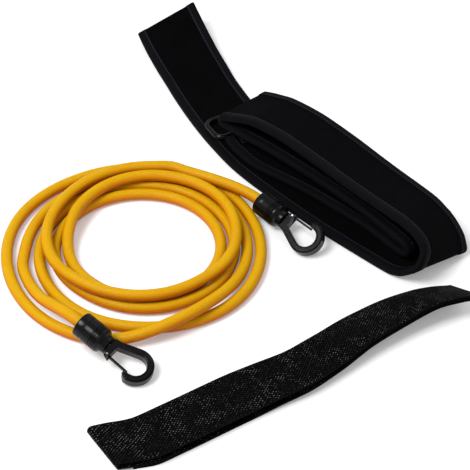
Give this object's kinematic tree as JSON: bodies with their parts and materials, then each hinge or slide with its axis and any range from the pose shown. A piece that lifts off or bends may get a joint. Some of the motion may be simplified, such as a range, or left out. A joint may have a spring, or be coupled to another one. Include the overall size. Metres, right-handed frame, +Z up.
{
  "type": "stationary swim tether",
  "caption": "Stationary swim tether: coiled elastic latex tube with a swivel snap hook at each end, folded padded waist belt with a ring, and anchor strap loop.",
  "frame": {"origin": "on the surface that the parts lie on, below the middle of the box round everything except the elastic tube", "axes": "+Z up, away from the surface; +Y away from the viewer of the picture, +X to that viewer's right"},
  "size_m": [0.3576, 0.5014, 0.0466],
  "materials": {
    "latex": "satin",
    "black_plastic": "semi-gloss",
    "steel": "satin",
    "coated_steel": "semi-gloss",
    "belt_face": "loop pile",
    "belt_pad": "knit over foam",
    "binding": "woven tape",
    "webbing": "woven"
  },
  "bodies": {
    "tether": {"tube_coil": "latex", "tube_near_lead": "latex", "tube_far_lead": "latex", "near_sleeve": "black_plastic", "near_tube_end": "latex", "near_plug": "black_plastic", "far_sleeve": "black_plastic", "far_tube_end": "latex", "far_plug": "black_plastic"},
    "near_hook": {"near_swivel_stem": "steel", "near_hook": "black_plastic", "near_gate_pin": "steel"},
    "near_gate": {"near_gate": "black_plastic"},
    "far_hook": {"far_swivel_stem": "steel", "far_hook": "black_plastic", "far_gate_pin": "steel"},
    "far_gate": {"far_gate": "black_plastic"},
    "belt": {"belt_face": "belt_face", "belt_pad": "belt_pad", "belt_binding_near": "binding", "belt_binding_far": "binding", "belt_hook_patch": "binding", "belt_ring_keeper": "binding"},
    "belt_ring": {"belt_ring": "coated_steel"},
    "anchor_strap": {"strap_loop": "webbing"}
  },
  "joints": [
    {"name": "near_swivel", "type": "hinge", "parent": "tether", "child": "near_hook", "pos_m": [-0.14181, -0.13287, 0.0212], "axis": [0.7707, -0.5808, -0.2622], "continuous": true},
    {"name": "near_gate_hinge", "type": "hinge", "parent": "near_hook", "child": "near_gate", "pos_m": [-0.12242, -0.15558, 0.01257], "axis": [0.1453, -0.2404, 0.9597], "range_deg": [0, 25], "stiffness_Nm_per_rad": 0.04, "springref_deg": -28.65},
    {"name": "far_swivel", "type": "hinge", "parent": "tether", "child": "far_hook", "pos_m": [-0.01121, 0.00433, 0.0126], "axis": [0.6747, -0.7363, -0.0523], "continuous": true},
    {"name": "far_gate_hinge", "type": "hinge", "parent": "far_hook", "child": "far_gate", "pos_m": [0.01356, -0.01438, 0.01426], "axis": [0.338, 0.3712, -0.8648], "range_deg": [0, 25], "stiffness_Nm_per_rad": 0.04, "springref_deg": -28.65},
    {"name": "belt_lift", "type": "slide", "parent": "tether", "child": "belt", "axis": [0, 0, 1], "range_m": [0, 0.25]},
    {"name": "belt_ring_hinge", "type": "hinge", "parent": "belt", "child": "belt_ring", "pos_m": [-0.01659, 0.0985, 0.00975], "axis": [0.8746, 0.4848, 0], "range_deg": [0, 12]},
    {"name": "strap_lift", "type": "slide", "parent": "tether", "child": "anchor_strap", "axis": [0, 0, 1], "range_m": [0, 0.25]}
  ]
}
